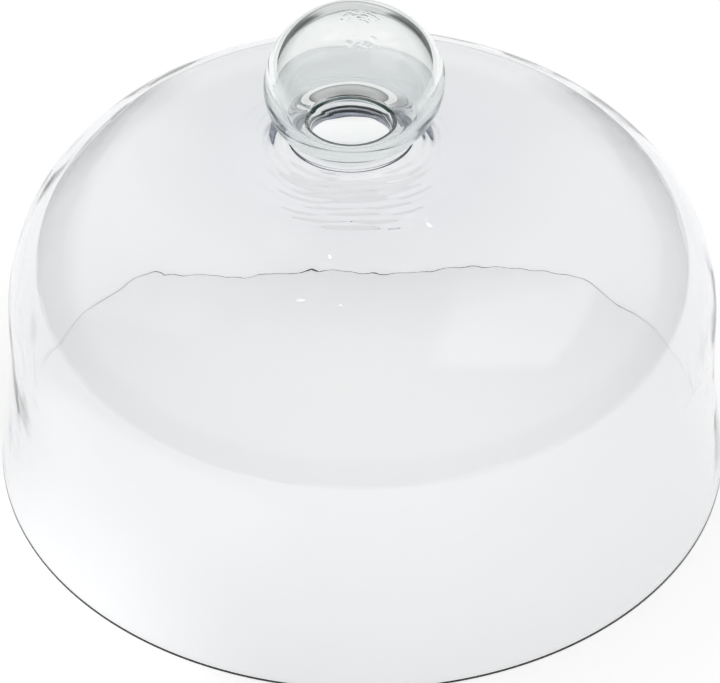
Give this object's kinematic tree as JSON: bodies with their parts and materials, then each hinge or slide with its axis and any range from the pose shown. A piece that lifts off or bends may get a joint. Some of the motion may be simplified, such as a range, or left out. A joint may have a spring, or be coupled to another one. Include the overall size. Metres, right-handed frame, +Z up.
{
  "type": "glass cloche",
  "caption": "Low, wide blown-glass dome cover, open at the rim, with a hollow glass ball on a short collar as its knob.",
  "frame": {"origin": "centre of the rim, in the plane that the cover stands on", "axes": "+Z up along the dome's axis; the knob sits slightly towards -X; +Y away from the viewer"},
  "size_m": [0.2498, 0.2498, 0.1733],
  "materials": {
    "clear_glass": "fire-polished, clear",
    "green_glass": "fire-polished, faintly green"
  },
  "bodies": {
    "root": {"dome": "clear_glass", "knob_collar": "green_glass", "knob_ball": "green_glass"}
  },
  "joints": []
}
